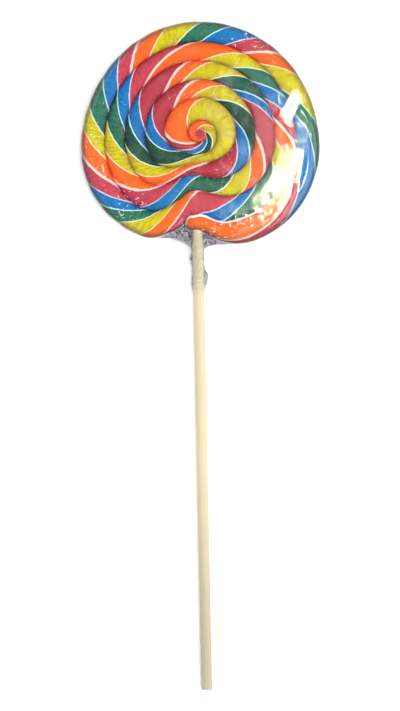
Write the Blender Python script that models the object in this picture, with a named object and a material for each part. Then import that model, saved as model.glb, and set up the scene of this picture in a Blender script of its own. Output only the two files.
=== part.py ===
"""Swirl lollipop: a coiled rope of hard candy on a wooden stick, in a clear wrapper.

Frame: metres, +Z up. The disc lies on its back with its face up (+Z) and its middle over the origin,
and the stick runs along -Y. The named sizes below are in millimetres and degrees.
"""
import math

import bmesh
import bpy
import numpy as np

MM = 0.001

# Stick.
STICK_RADIUS = 3.97
STICK_LENGTH = 384.0
STICK_X = -3.1
STICK_TOP_Y = -16.0
STICK_SIDES = 24
STICK_CHAMFER = 0.5

# Wrapper: its wall, and its clearance to the candy and the stick.
FILM = 0.40
GAP = 0.35

# Heights. The candy's underside is flat where its turns touch the wrapper.
BORE_RADIUS = STICK_RADIUS + 0.3
COVER = 0.9
BELOW = BORE_RADIUS + COVER
ABOVE = 5.4
MIDDLE_Z = FILM + GAP + BELOW

# Coil, seen from above. An angle starts at the stick (-Y), grows counter-clockwise, and goes up by 360
# for each turn further in along the rope. Each list has one value for each turn, from the outside in.
TURN_RADIUS = (82.2, 66.9, 53.3, 39.7, 26.7, 10.6, 3.0)
DENT_RADIUS = (66.4, 41.0, 37.1, 26.9, 19.5, 14.8, 6.5)
DENT_START = (0.0, 12.8, 22.1, 33.2, 39.1, 60.3, 70.0)
DENT_END = (6.0, 3.8, 15.8, 19.0, 47.8, 71.5, 60.0)
OUTER_FALL = 14.8
FALL = 10.5
RISE = 16.4
OUTER_RADIUS = 82.6
SHIFT = 1.4
OVAL = 0.8
SHOULDER = 6.2
SHOULDER_ANGLE = 67.0
SHOULDER_WIDTH = 36.0
SHAPE_FADE = 3.35
# Swells and dips of the edge at single places: angle, spread, height.
RIM_SWELLS = ((2.0, 5.0, -2.0), (12.0, 8.0, -0.9), (36.0, 22.0, 1.5), (124.0, 28.0, 1.2),
              (333.0, 7.0, 1.5), (345.5, 4.0, 1.2), (351.3, 2.3, -2.0), (372.0, 9.0, 2.3))
CANDY_INSET = 1.0

# Rope: its blunt outer end, its inner end, its section and its grooves.
NOSE_ANGLE = -11.0
NOSE_LENGTH = 9.0
NOSE_POWER = 2.6
PER_TURN = 54
COIL_STEP = 360 / PER_TURN
COIL_COLUMNS = 284
TOP_STRIPS = 6
UNDER_STRIPS = 4
SECTION_POWER = 2.5
UNDER_POWER = 4.0
TOP_GROOVE = 0.45
UNDER_GROOVE = 0.62
GROOVE_START = 8.0
GROOVE_END = 1960.0
BULGE_HALF_WIDTH = 11.0
CORE_OFFSET = 4.5

# Wrapper's outline below the disc: a web that narrows to a sleeve on the stick.
RIM_CLEARANCE = 0.95
RIM_ROUNDING = 5.4
FACE_CLEARANCE = 0.75
WEB_HALF_GAP = 0.15
WEB_WIDTH = 26.0
WEB_DROP = 2.0
WEB_FADE = 2.2
SLEEVE_END_Y = -118.0


def clear_scene():
    for scene_object in list(bpy.data.objects):
        bpy.data.objects.remove(scene_object, do_unlink=True)


def material(name, colour, roughness, alpha=1.0):
    """A plain Principled material."""
    made = bpy.data.materials.new(name)
    made.use_nodes = True
    shader = made.node_tree.nodes["Principled BSDF"]
    shader.inputs["Base Color"].default_value = (*colour, 1.0)
    shader.inputs["Roughness"].default_value = roughness
    shader.inputs["Alpha"].default_value = alpha
    return made


def add_object(name, mesh_builder, made_material):
    """Turn a bmesh in millimetres into a smooth object in metres."""
    bmesh.ops.recalc_face_normals(mesh_builder, faces=mesh_builder.faces)
    bmesh.ops.scale(mesh_builder, vec=(MM, MM, MM), verts=mesh_builder.verts)
    mesh = bpy.data.meshes.new(name)
    mesh_builder.to_mesh(mesh)
    mesh_builder.free()
    mesh.shade_smooth()
    mesh.set_sharp_from_angle(angle=math.radians(40))
    mesh.materials.append(made_material)
    made_object = bpy.data.objects.new(name, mesh)
    bpy.context.scene.collection.objects.link(made_object)
    return made_object


def step(x):
    """A smooth step from 0 to 1."""
    return 0.5 * (1 + np.tanh(x))


def coil_edge(angle):
    """Radius of the rope's outer edge. One turn later the same curve is its inner edge."""
    angle = np.asarray(angle, float)
    radius = np.full_like(angle, DENT_RADIUS[0])
    for turn, (plain, dent) in enumerate(zip(TURN_RADIUS, DENT_RADIUS)):
        if turn:
            before = TURN_RADIUS[turn - 1]
            fall = OUTER_FALL if turn == 1 else FALL
            width = math.degrees(2 * fall / (before + dent))
            radius -= (before - dent) * step((angle - 360 * turn + DENT_START[turn]) / width)
        width = math.degrees(2 * RISE / (plain + dent))
        radius += (plain - dent) * step((angle - 360 * turn - DENT_END[turn]) / width)
    from_stick = (angle + 180) % 360 - 180
    turned = np.radians(angle)
    shape = SHIFT * np.cos(turned) + OVAL * np.cos(2 * turned)
    shape += SHOULDER * np.exp(-(((np.abs(from_stick) - SHOULDER_ANGLE) / SHOULDER_WIDTH) ** 2))
    radius = radius + (radius / OUTER_RADIUS) ** SHAPE_FADE * shape
    for place, spread, height in RIM_SWELLS:
        radius = radius + height * np.exp(-(((angle - place) / spread) ** 2))
    return radius


def rounding(angle, length):
    """Growth from 0 at the rope's blunt nose to 1 a given angle later."""
    share = np.clip((np.asarray(angle, float) - NOSE_ANGLE) / length, 0, 1)
    return (1 - (1 - share) ** NOSE_POWER) ** (1 / NOSE_POWER)


def rope_edge(angle):
    """The coil's edge, closed round the blunt nose and inset for the wrapper."""
    closing = coil_edge(NOSE_ANGLE + 360)
    return closing + (coil_edge(angle) - closing) * rounding(angle, NOSE_LENGTH) - CANDY_INSET


def groove_level(angle, level):
    """Height of the line between two turns, as a share of the crest: 0 along the free rim."""
    start = np.clip((angle - NOSE_ANGLE - 360) / GROOVE_START, 0, 1)
    end = np.clip((angle - GROOVE_END) / (360 - GROOVE_START), 0, 1)
    level += (1 - level) * end * end * (3 - 2 * end)
    return level * start * start * (3 - 2 * start)


def stick_cover(x, y):
    """Half thickness that the candy needs round the stick, fading out to its sides and past its end."""
    across = np.clip(1 - ((x - STICK_X) / BULGE_HALF_WIDTH) ** 2, 0, 1)
    along = np.clip((STICK_TOP_Y + BULGE_HALF_WIDTH - y) / BULGE_HALF_WIDTH, 0, 1)
    return BELOW * np.sqrt(across * along * (2 - along))


def rope_height(angle, share, crest, level, power):
    """Half thickness of the rope at a share of its width, before the stick lifts it."""
    outer = groove_level(angle, level)
    inner = groove_level(angle + 360, level)
    base = crest * (outer if share < 0.5 else inner)
    section = math.sqrt(1 - abs(2 * share - 1) ** power)
    return base + (crest * rounding(angle, NOSE_LENGTH) - base) * section


def rope_point(angle, share, under):
    """A point on the rope's top or underside, at a share of its width from the outer edge."""
    radius = (1 - share) * rope_edge(angle) + share * rope_edge(angle + 360)
    turned = math.radians(angle)
    x = radius * math.sin(turned)
    y = -radius * math.cos(turned)
    free_rim = share < 0.5 and angle < NOSE_ANGLE + 360
    fade = math.sqrt(1 - abs(2 * share - 1) ** SECTION_POWER) if free_rim else 1.0
    cover = fade * stick_cover(x, y) * rounding(angle, NOSE_LENGTH)
    if under:
        height = rope_height(angle, share, BELOW, UNDER_GROOVE, UNDER_POWER)
        return x, y, MIDDLE_Z - min(BELOW, (height ** 8 + cover ** 8) ** 0.125)
    height = rope_height(angle, share, ABOVE, TOP_GROOVE, SECTION_POWER)
    return x, y, MIDDLE_Z + (height ** 8 + cover ** 8) ** 0.125


def edge_vertex(builder, column, under, rim):
    """A vertex on the line between two turns, or the one that both sides share on the free rim."""
    angle = NOSE_ANGLE + COIL_STEP * column
    if column <= PER_TURN:
        if column % PER_TURN not in rim:
            radius = float(rope_edge(angle))
            turned = math.radians(angle)
            place = (radius * math.sin(turned), -radius * math.cos(turned), MIDDLE_Z)
            rim[column % PER_TURN] = builder.verts.new(place)
        return rim[column % PER_TURN]
    return builder.verts.new(rope_point(angle, 0.0, under))


def rope_surface(builder, rim, under):
    """The top or the underside of the coil: a spiral grid whose neighbouring turns share their edge."""
    strips = UNDER_STRIPS if under else TOP_STRIPS
    shares = [(1 - math.cos(math.pi * strip / strips)) / 2 for strip in range(strips + 1)]
    edges = [edge_vertex(builder, column, under, rim) for column in range(COIL_COLUMNS + PER_TURN + 1)]
    columns = []
    for column in range(COIL_COLUMNS + 1):
        if column == 0:
            columns.append([edges[0]] * (strips + 1))
            continue
        angle = NOSE_ANGLE + COIL_STEP * column
        inside = [builder.verts.new(rope_point(angle, share, under)) for share in shares[1:-1]]
        columns.append([edges[column], *inside, edges[column + PER_TURN]])
    for here, after in zip(columns, columns[1:]):
        for strip in range(strips):
            corners = [here[strip], after[strip], after[strip + 1], here[strip + 1]]
            builder.faces.new(list(dict.fromkeys(corners)))
    loop = edges[COIL_COLUMNS:] + columns[-1][-2:0:-1]
    close_core(builder, loop, under)


def close_core(builder, loop, under):
    """The rope's inner end: a low cone over the loop that the last turn leaves open."""
    turned = math.radians(NOSE_ANGLE + COIL_STEP * COIL_COLUMNS + 90)
    crest = MIDDLE_Z - BELOW if under else MIDDLE_Z + ABOVE
    place = (CORE_OFFSET * math.sin(turned), -CORE_OFFSET * math.cos(turned), crest)
    centre = builder.verts.new(place)
    for index, vertex in enumerate(loop):
        builder.faces.new([vertex, loop[(index + 1) % len(loop)], centre])


def stick_profile(builder, radius, start_y, end_y, chamfer):
    """A round bar along Y with chamfered ends."""
    rings = [(start_y, radius - chamfer), (start_y - chamfer, radius), (end_y + chamfer, radius),
             (end_y, radius - chamfer)]
    loops = []
    for y, ring_radius in rings:
        angles = [2 * math.pi * side / STICK_SIDES for side in range(STICK_SIDES)]
        loops.append([builder.verts.new((STICK_X + ring_radius * math.cos(a), y,
                                         MIDDLE_Z + ring_radius * math.sin(a))) for a in angles])
    for here, after in zip(loops, loops[1:]):
        for side in range(STICK_SIDES):
            other = (side + 1) % STICK_SIDES
            builder.faces.new([here[side], here[other], after[other], after[side]])
    builder.faces.new(loops[0])
    builder.faces.new(loops[-1][::-1])


def add_stick():
    builder = bmesh.new()
    stick_profile(builder, STICK_RADIUS, STICK_TOP_Y, STICK_TOP_Y - STICK_LENGTH, STICK_CHAMFER)
    return add_object("stick", builder, material("wood", (0.78, 0.66, 0.44), 0.6))


def add_candy():
    """The coiled rope, with a blind hole for the stick."""
    builder = bmesh.new()
    rim = {}
    rope_surface(builder, rim, under=False)
    rope_surface(builder, rim, under=True)
    candy = add_object("candy", builder, material("hard_candy", (0.90, 0.22, 0.06), 0.2))
    builder = bmesh.new()
    hole_end = STICK_TOP_Y + 0.3
    stick_profile(builder, BORE_RADIUS, hole_end, -OUTER_RADIUS - 20, 0.0)
    cutter = add_object("stick_hole_cutter", builder, material("cutter", (0.5, 0.5, 0.5), 1.0))
    cutter.hide_render = True
    cutter.display_type = "WIRE"
    hole = candy.modifiers.new("stick_hole", "BOOLEAN")
    hole.operation = "DIFFERENCE"
    hole.solver = "EXACT"
    hole.object = cutter
    return candy


def disc_outline():
    """Convex outline of the candy, which the wrapper is stretched over, as corner points."""
    angles = np.radians(NOSE_ANGLE + COIL_STEP * np.arange(PER_TURN))
    radii = rope_edge(NOSE_ANGLE + COIL_STEP * np.arange(PER_TURN))
    points = sorted(zip(radii * np.sin(angles), -radii * np.cos(angles)))
    hull = []
    for ordered in (points, points[::-1]):
        chain = []
        for point in ordered:
            while len(chain) > 1 and turn_area(chain[-2], chain[-1], point) <= 0:
                chain.pop()
            chain.append(point)
        hull += chain[:-1]
    return np.array(hull)


def turn_area(first, second, third):
    """Positive when three points turn counter-clockwise."""
    return ((second[0] - first[0]) * (third[1] - first[1])
            - (second[1] - first[1]) * (third[0] - first[0]))


class Wrapper:
    """One skin of the wrapper, its inner one or, a wall further out, its outer one."""

    def __init__(self, outline, wall):
        edges = np.roll(outline, -1, axis=0) - outline
        lengths = np.hypot(edges[:, 0], edges[:, 1])
        self.normals = np.column_stack([edges[:, 1], -edges[:, 0]]) / lengths[:, None]
        self.offsets = (self.normals * outline).sum(axis=1) + RIM_CLEARANCE + wall
        self.top_y = outline[:, 1].max() + RIM_CLEARANCE + wall
        self.bottom_y = outline[:, 1].min() - RIM_CLEARANCE - wall
        self.above = ABOVE + FACE_CLEARANCE + wall
        self.below = BELOW + GAP + wall
        self.web = WEB_HALF_GAP + wall
        self.tube = BORE_RADIUS + 0.15 + wall

    def depth(self, x, y):
        """Distance inside the outline."""
        return float((self.offsets - self.normals @ np.array([x, y])).min())

    def sides(self, y):
        """The outline's left and right x at a given y, with the web and the sleeve below the disc."""
        below_web = min(0.0, y - self.bottom_y - WEB_DROP)
        neck = self.tube + WEB_WIDTH * math.exp(below_web / WEB_FADE)
        left, right = STICK_X - neck, STICK_X + neck
        if self.bottom_y < y < self.top_y:
            reach = self.offsets - self.normals[:, 1] * y
            across = self.normals[:, 0]
            low = (reach[across < -1e-6] / across[across < -1e-6]).max()
            high = (reach[across > 1e-6] / across[across > 1e-6]).min()
            if y < 0:
                return min(left, low), max(right, high)
            return low, high
        return left, right

    def height(self, x, y, crest, power):
        """Half thickness at a point: the disc's pillow, the tube round the stick, or the flat web."""
        depth = np.clip(self.depth(x, y) / RIM_ROUNDING, 0, 1)
        pillow = crest * math.sqrt(1 - (1 - depth) ** power)
        tube = 0.0
        if y < 0:
            tube = math.sqrt(max(0.0, self.tube ** 2 - (x - STICK_X) ** 2))
        return max(pillow, tube, self.web)

    def section(self, builder, y):
        """A closed ring across the wrapper: along its top from left to right and back underneath."""
        left, right = self.sides(y)
        middle = min(max(STICK_X, left + 0.3 * (right - left)), right - 0.3 * (right - left))
        xs = []
        for side, toward in ((left, 1), (right, -1)):
            width = abs(middle - side)
            shoulder = min(1.04 * self.tube, 0.85 * width)
            zone = min(RIM_ROUNDING, 0.6 * (width - shoulder))
            inward = [0.12 * zone, 0.45 * zone, zone, 0.5 * (zone + width - shoulder)]
            outer = [side + toward * part for part in inward]
            near = [min(shoulder, part * self.tube) for part in (1.04, 0.75, 0.375)]
            if width < self.tube:
                near = [part * width for part in (0.85, 0.65, 0.35)]
            xs.append(outer + [middle - toward * part for part in near])
        across = [*xs[0], middle, *xs[1][::-1]]
        ring = [builder.verts.new((left, y, MIDDLE_Z))]
        tops = [MIDDLE_Z + self.height(x, y, self.above, SECTION_POWER) for x in across]
        unders = [MIDDLE_Z - self.height(x, y, self.below, UNDER_POWER) for x in across]
        ring += [builder.verts.new((x, y, z)) for x, z in zip(across, tops)]
        ring.append(builder.verts.new((right, y, MIDDLE_Z)))
        ring += [builder.verts.new((x, y, z)) for x, z in zip(across[::-1], unders[::-1])]
        return ring

    def skin(self, builder):
        """All the rings from the disc's top to the sleeve's end, joined. Returns the last ring."""
        rim_steps = (0.3, 1.0, 2.5, 4.5, 7.0)
        middle_ys = np.linspace(self.top_y - 13, self.bottom_y + 12, 16)
        low_steps = (7.6, 5.0, 3.2, 2.0, 0.9)
        neck_steps = (0.6, 2.5, 4.5, 8.0, 20.0)
        ys = [self.top_y - part for part in rim_steps]
        ys += list(middle_ys)
        ys += [self.bottom_y + part for part in low_steps]
        ys += [self.bottom_y - part for part in neck_steps]
        ys.append(SLEEVE_END_Y)
        rings = [self.section(builder, y) for y in ys]
        top_x = sum(self.sides(self.top_y - 0.05)) / 2
        pole = builder.verts.new((top_x, self.top_y, MIDDLE_Z))
        count = len(rings[0])
        for index in range(count):
            after = (index + 1) % count
            builder.faces.new([pole, rings[0][index], rings[0][after]])
            for here, below in zip(rings, rings[1:]):
                builder.faces.new([here[index], below[index], below[after], here[after]])
        return rings[-1]


def add_wrapper():
    """A thin closed skin round the candy and down the stick, open only at the sleeve's end."""
    outline = disc_outline()
    builder = bmesh.new()
    inner_end = Wrapper(outline, 0.0).skin(builder)
    outer_end = Wrapper(outline, FILM).skin(builder)
    for index in range(len(inner_end)):
        after = (index + 1) % len(inner_end)
        builder.faces.new([inner_end[index], inner_end[after], outer_end[after], outer_end[index]])
    return add_object("wrapper", builder, material("clear_film", (0.95, 0.96, 0.97), 0.1, 0.2))


def main():
    clear_scene()
    add_candy()
    add_stick()
    add_wrapper()


main()
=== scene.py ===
"""Looks of the swirl lollipop: twisted striped candy, wooden stick, clear crinkled wrapper, studio.

The shapes are worked out in millimetres and degrees, and turned into metres as each mesh is made. The
coil's formula repeats the CAD solid's, so that the fine pieces lie where the solids they replace are.
"""

import math

import bpy
import numpy as np
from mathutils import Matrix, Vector
from mathutils.bvhtree import BVHTree
from mathutils.geometry import convex_hull_2d


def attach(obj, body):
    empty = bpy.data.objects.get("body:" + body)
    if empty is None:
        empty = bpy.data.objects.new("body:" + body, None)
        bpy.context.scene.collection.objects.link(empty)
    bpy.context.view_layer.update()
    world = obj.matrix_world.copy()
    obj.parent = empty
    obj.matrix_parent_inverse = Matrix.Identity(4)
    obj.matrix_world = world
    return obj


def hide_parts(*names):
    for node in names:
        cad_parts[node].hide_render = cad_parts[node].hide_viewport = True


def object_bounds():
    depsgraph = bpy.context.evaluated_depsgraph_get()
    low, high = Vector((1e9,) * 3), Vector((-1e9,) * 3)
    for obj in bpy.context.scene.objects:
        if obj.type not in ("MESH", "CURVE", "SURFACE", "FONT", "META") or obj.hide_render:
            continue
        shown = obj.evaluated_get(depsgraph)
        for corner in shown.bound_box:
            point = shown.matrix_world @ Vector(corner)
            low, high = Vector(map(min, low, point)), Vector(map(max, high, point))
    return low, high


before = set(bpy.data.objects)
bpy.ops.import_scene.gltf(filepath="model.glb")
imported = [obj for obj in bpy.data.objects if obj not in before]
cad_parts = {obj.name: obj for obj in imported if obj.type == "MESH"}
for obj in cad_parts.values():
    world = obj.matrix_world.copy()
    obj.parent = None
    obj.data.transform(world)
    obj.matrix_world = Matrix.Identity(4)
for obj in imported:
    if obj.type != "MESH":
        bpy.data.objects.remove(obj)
CAD_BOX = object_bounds()

MM = 0.001

# ---- Coil, as in the CAD solid ----
STICK_RADIUS = 3.97
STICK_LENGTH = 384.0
STICK_X = -3.1
STICK_TOP_Y = -16.0
MIDDLE_Z = 5.92
ABOVE = 5.4
BELOW = 5.17

# An angle starts at the stick (-Y), grows counter-clockwise, and goes up by 360 for each turn further in
# along the rope. For each turn, from the outside in: the radius of the rope's outer edge, that in the
# dent round the stick's end, and how far before and after the stick the dent starts and ends.
TURN_RADIUS = (82.2, 66.9, 53.3, 39.7, 26.7, 10.6, 3.0)
DENT_RADIUS = (66.4, 41.0, 37.1, 26.9, 19.5, 14.8, 6.5)
DENT_START = (0.0, 12.8, 22.1, 33.2, 39.1, 60.3, 70.0)
DENT_END = (6.0, 3.8, 15.8, 19.0, 47.8, 71.5, 60.0)
OUTER_FALL = 14.8
FALL = 10.5
RISE = 16.4
# How the disc differs from a circle: shifted toward the stick, oval, and with two shoulders.
OUTER_RADIUS = 82.6
SHIFT = 1.4
OVAL = 0.8
SHOULDER = 6.2
SHOULDER_ANGLE = 67.0
SHOULDER_WIDTH = 36.0
SHAPE_FADE = 3.35
# Swells and dips of the edge at single places: angle, spread, height.
RIM_SWELLS = ((2.0, 5.0, -2.0), (12.0, 8.0, -0.9), (36.0, 22.0, 1.5), (124.0, 28.0, 1.2),
              (333.0, 7.0, 1.5), (345.5, 4.0, 1.2), (351.3, 2.3, -2.0), (372.0, 9.0, 2.3))
NOSE_ANGLE = -11.0
NOSE_LENGTH = 9.0
NOSE_POWER = 2.6
# Over what angle the groove between turns opens, and where and over what angle it closes.
GROOVE_START = 8.0
GROOVE_END = (2060.0, 300.0)

# ---- Fine candy mesh ----
CANDY_INSET = 0.1
PER_TURN = 360
COIL_STEP = 360 / PER_TURN
COIL_COLUMNS = 2340
# Strips across the rope, and whether they are on its underside.
STRIPS = ((28, False), (12, True))
LENGTH_STEP = 0.5
# The rope's section: where across it the crest lies, the powers of its curves, and the height of the
# grooves as a share of the crest's.
CREST_SHARE = 0.42
OUTSIDE_POWER = 2.2
INSIDE_POWER = 2.3
INSIDE_ROOT = 0.72
UNDER_POWER = 4
TOP_GROOVE = 0.48
UNDER_GROOVE = 0.62
# The candy's swelling round the stick, and how sharply it leaves the rope and fades to the free rim.
BULGE_HALF_WIDTH = 11.0
BULGE_POWER = 8
BULGE_FADE_POWER = 2.5
# How far each stripe bulges, and the level of the bulge at which the free rim keeps its radius.
STRIPE_CROWN = 0.28
RIM_CROWN_LEVEL = 0.7
# Painted shade beside the grooves, as deeper colour: strength and width on the rope's inner and outer side.
INNER_SHADE = (0.9, 1.7)
OUTER_SHADE = (0.8, 2.0)
CORE_SHADE = 0.1
# The same for the painted shade that darkens deep in them. Then the painted shade that darkens the free
# rim: how strong, how far in and how far round, and the degrees from the nose on over which it all sets in.
INNER_PAINTED_DARK = (0.08, 0.9)
OUTER_PAINTED_DARK = (0.05, 0.9)
RIM_PAINTED_SHADE = 0.72
RIM_PAINTED_SHADE_WIDTH = 6.0
RIM_PAINTED_SHADE_END = 352.0
NOSE_LIGHT = (-1.0, 7.0)
# White edging on the first turn, each with the length over which it fades: its width, where along the
# rope it ends, and its band round the nose in degrees.
EDGING_WIDTH = (0.8, 1.6)
EDGING_END = (42.0, 22.0)
NOSE_EDGING = (1.0, 0.9)

# ---- Stripes ----
# The colours follow each other as orange, red, blue, green and yellow. The rope was twisted by hand, so
# no two rounds of five are alike. Each row is one round: where, along the rope's mid-line from the
# stick, red, blue, green, yellow and then orange begin.
STRIPES = 5
ROUNDS = ((72, 86, 125, 145, 174), (191, 208, 228, 248, 271), (291, 308, 326, 347, 364),
          (384, 403, 417, 431, 446), (465, 494, 511, 542, 560), (577, 594, 611, 630, 652),
          (696, 729, 747, 768, 787), (808, 828, 847, 875, 895), (914, 948, 959, 980, 1004),
          (1020, 1056, 1074, 1094, 1112), (1132, 1170, 1188, 1214, 1236), (1254, 1287, 1302, 1325, 1402),
          (1430, 1440, 1448, 1456, 1467), (1500, 1512, 1524, 1536, 1548))
# Within EDGE_ZONE of an edge the stripe count grows by one in PER_STRIPE, and so measures distance.
EDGE_ZONE = 3.0
PER_STRIPE = 100.0
# How far a stripe's edge moves along the rope as it crosses it, as rows of the place, the move over a
# whole width at the rate of the outer half, how much of it is bowed so that the edge is steepest at the
# rope's side, and the move at the rate of the inner half.
SLANT = ((72, 150, 0.3, 50), (86, 77, 0.95, 50), (125, 64, 0.1, 34), (150, 34, 0.45, 34),
         (195, 24, 0.45, 24), (350, 25, 0.45, 25), (392, 38, 0.5, 38), (445, 20, 0.45, 20),
         (494, 30, 0.1, 40), (511, 36, 0.15, 40), (545, 24, 0.45, 24), (640, 27, 0.45, 27),
         (696, 54, 0.45, 54), (732, 28, 0.45, 28), (808, 30, 0.45, 30), (830, 20, 0.45, 20),
         (914, 30, 0.45, 30), (1000, 26, 0.45, 26), (1175, 34, 0.45, 34), (1250, 26, 0.45, 26),
         (1300, 28, 0.45, 28), (1402, 24, 0.45, 24), (1470, 12, 0.45, 12))
UNTWIST_ROUNDS = 16
SLOPE_LIMITS = (0.8, 4.0)
SHORTEST_STEP = 1e-3


def step(x):
    """A smooth step from 0 to 1."""
    return 0.5 * (1 + np.tanh(x))


def smooth(x, start=0.0, length=1.0):
    """A cubic step from 0 to 1, from a start on over a length."""
    x = np.clip((x - start) / length, 0, 1)
    return x * x * (3 - 2 * x)


def bell(x, middle, spread):
    """A bell curve of height 1."""
    return np.exp(-(((x - middle) / spread) ** 2))


def faded(band, distance):
    """Strength at a distance from a band of some strength and width."""
    strength, width = band
    return strength * np.exp(-distance / width)


def around(radius, angle):
    """The x and y of a place at some radius and angle."""
    turned = np.radians(angle)
    return radius * np.sin(turned), -radius * np.cos(turned)


def coil_edge(angle):
    """Radius of the rope's outer edge. One turn later the same curve is its inner edge."""
    angle = np.asarray(angle, float)
    radius = np.full_like(angle, DENT_RADIUS[0])
    for turn, (plain, dent) in enumerate(zip(TURN_RADIUS, DENT_RADIUS)):
        if turn:
            before = TURN_RADIUS[turn - 1]
            fall = OUTER_FALL if turn == 1 else FALL
            width = math.degrees(2 * fall / (before + dent))
            radius -= (before - dent) * step((angle - 360 * turn + DENT_START[turn]) / width)
        width = math.degrees(2 * RISE / (plain + dent))
        radius += (plain - dent) * step((angle - 360 * turn - DENT_END[turn]) / width)
    from_stick = (angle + 180) % 360 - 180
    turned = np.radians(angle)
    shape = SHIFT * np.cos(turned) + OVAL * np.cos(2 * turned)
    shape += SHOULDER * bell(np.abs(from_stick), SHOULDER_ANGLE, SHOULDER_WIDTH)
    radius = radius + (radius / OUTER_RADIUS) ** SHAPE_FADE * shape
    for place, spread, height in RIM_SWELLS:
        radius = radius + height * bell(angle, place, spread)
    return radius


def rounding(angle):
    """Growth from 0 at the tip of the rope's blunt nose to 1 where it ends."""
    share = np.clip((np.asarray(angle, float) - NOSE_ANGLE) / NOSE_LENGTH, 0, 1)
    return (1 - (1 - share) ** NOSE_POWER) ** (1 / NOSE_POWER)


def rope_edge(angle):
    """The coil's edge, closed round the blunt nose and inset for the wrapper."""
    closing = coil_edge(NOSE_ANGLE + 360)
    return closing + (coil_edge(angle) - closing) * rounding(angle) - CANDY_INSET


def groove_level(angle, level):
    """Height of the line between two turns, as a share of the crest: 0 along the free rim."""
    start = smooth(angle, NOSE_ANGLE + 360, GROOVE_START)
    end = smooth(angle, *GROOVE_END)
    return (level + (1 - level) * end) * start


def stick_cover(x, y):
    """Half thickness that the candy needs round the stick, fading out to its sides and past its end."""
    across = np.clip(1 - ((x - STICK_X) / BULGE_HALF_WIDTH) ** 2, 0, 1)
    along = np.clip((STICK_TOP_Y + BULGE_HALF_WIDTH - y) / BULGE_HALF_WIDTH, 0, 1)
    return BELOW * np.sqrt(across * along * (2 - along))


def rope_length(angle):
    """Distance along the rope's mid-line from the stick to an angle."""
    fine = np.arange(NOSE_ANGLE - 1, NOSE_ANGLE + COIL_STEP * COIL_COLUMNS + 2, LENGTH_STEP)
    middle = (coil_edge(fine) + coil_edge(fine + 360)) / 2
    steps = np.hypot(*np.diff(around(middle, fine)))
    length = np.concatenate([[0], np.cumsum(steps)])
    return np.interp(angle, fine, length - np.interp(0, fine, length))


def stripe_knots():
    """Places along the rope and the stripe count there: a whole number on each edge between stripes."""
    places, counts = [ROUNDS[0][0] - PER_STRIPE], [STRIPES - 1.0]
    for count, place in enumerate((place for row in ROUNDS for place in row), STRIPES):
        places += [place - EDGE_ZONE, place + EDGE_ZONE]
        counts += [count - EDGE_ZONE / PER_STRIPE, count + EDGE_ZONE / PER_STRIPE]
    return np.array(places), np.array(counts)


def untwisted(length, lean):
    """Place on the mid-line of the stripe that passes here. lean runs from -0.5 on the outer edge to 0.5
    on the inner one, and on round the underside."""
    places, outer_shifts, bows, inner_shifts = np.array(SLANT, float).T
    outer = np.clip(lean, -0.5, 0)
    inner = np.clip(lean, 0, None)
    beyond = np.clip(lean, None, -0.5) + 0.5
    outer_arc = np.arcsin(2 * outer) / math.pi
    inner_arc = np.arcsin(2 * inner) / math.pi
    source = length + 0 * lean
    for _ in range(UNTWIST_ROUNDS):
        bow = np.interp(source, places, bows)
        shift = np.interp(source, places, outer_shifts) * ((1 - bow) * outer + bow * outer_arc)
        shift += np.interp(source, places, inner_shifts) * ((1 - bow) * inner + bow * inner_arc + beyond)
        source = 0.5 * source + 0.5 * (length - shift)
    return source


def section(share, outer, inner, crest, under):
    """Half thickness across the rope. The inner side slopes down under the next turn in."""
    if under:
        base = np.where(share < 0.5, outer, inner)
        bow = np.sqrt(np.clip(1 - np.abs(2 * share - 1) ** UNDER_POWER, 0, 1))
        return base + (crest - base) * bow
    rise = np.clip(1 - share / CREST_SHARE, 0, 1)
    fall = np.clip((share - CREST_SHARE) / (1 - CREST_SHARE), 0, 1)
    outside = outer + (crest - outer) * np.sqrt(np.clip(1 - rise ** OUTSIDE_POWER, 0, 1))
    inside = inner + (crest - inner) * np.clip(1 - fall ** INSIDE_POWER, 0, 1) ** INSIDE_ROOT
    return np.where(share < CREST_SHARE, outside, inside)


def rope_shades(angle, across, inward):
    """Painted shade: deeper colour beside the grooves, and darkening deep in them and along the free rim.
    """
    free_rim = angle < NOSE_ANGLE + RIM_PAINTED_SHADE_END
    shade = faded(INNER_SHADE, inward) + faded(OUTER_SHADE, across) * ~free_rim
    painted_dark = RIM_PAINTED_SHADE * (1 - smooth(across / RIM_PAINTED_SHADE_WIDTH)) * free_rim + faded(INNER_PAINTED_DARK, inward)
    painted_dark += faded(OUTER_PAINTED_DARK, across) * ~free_rim
    return np.clip(shade, 0, 1), np.clip(painted_dark, 0, 1) * smooth(angle - NOSE_ANGLE, *NOSE_LIGHT)


def white_edging(angle, length, inward):
    """Share of the white edging that runs round the rope's nose and on along its inner side."""
    side = (1 - smooth(inward, *EDGING_WIDTH)) * (1 - smooth(length, *EDGING_END))
    return np.maximum(side, 1 - smooth(angle - NOSE_ANGLE, *NOSE_EDGING))


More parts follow.
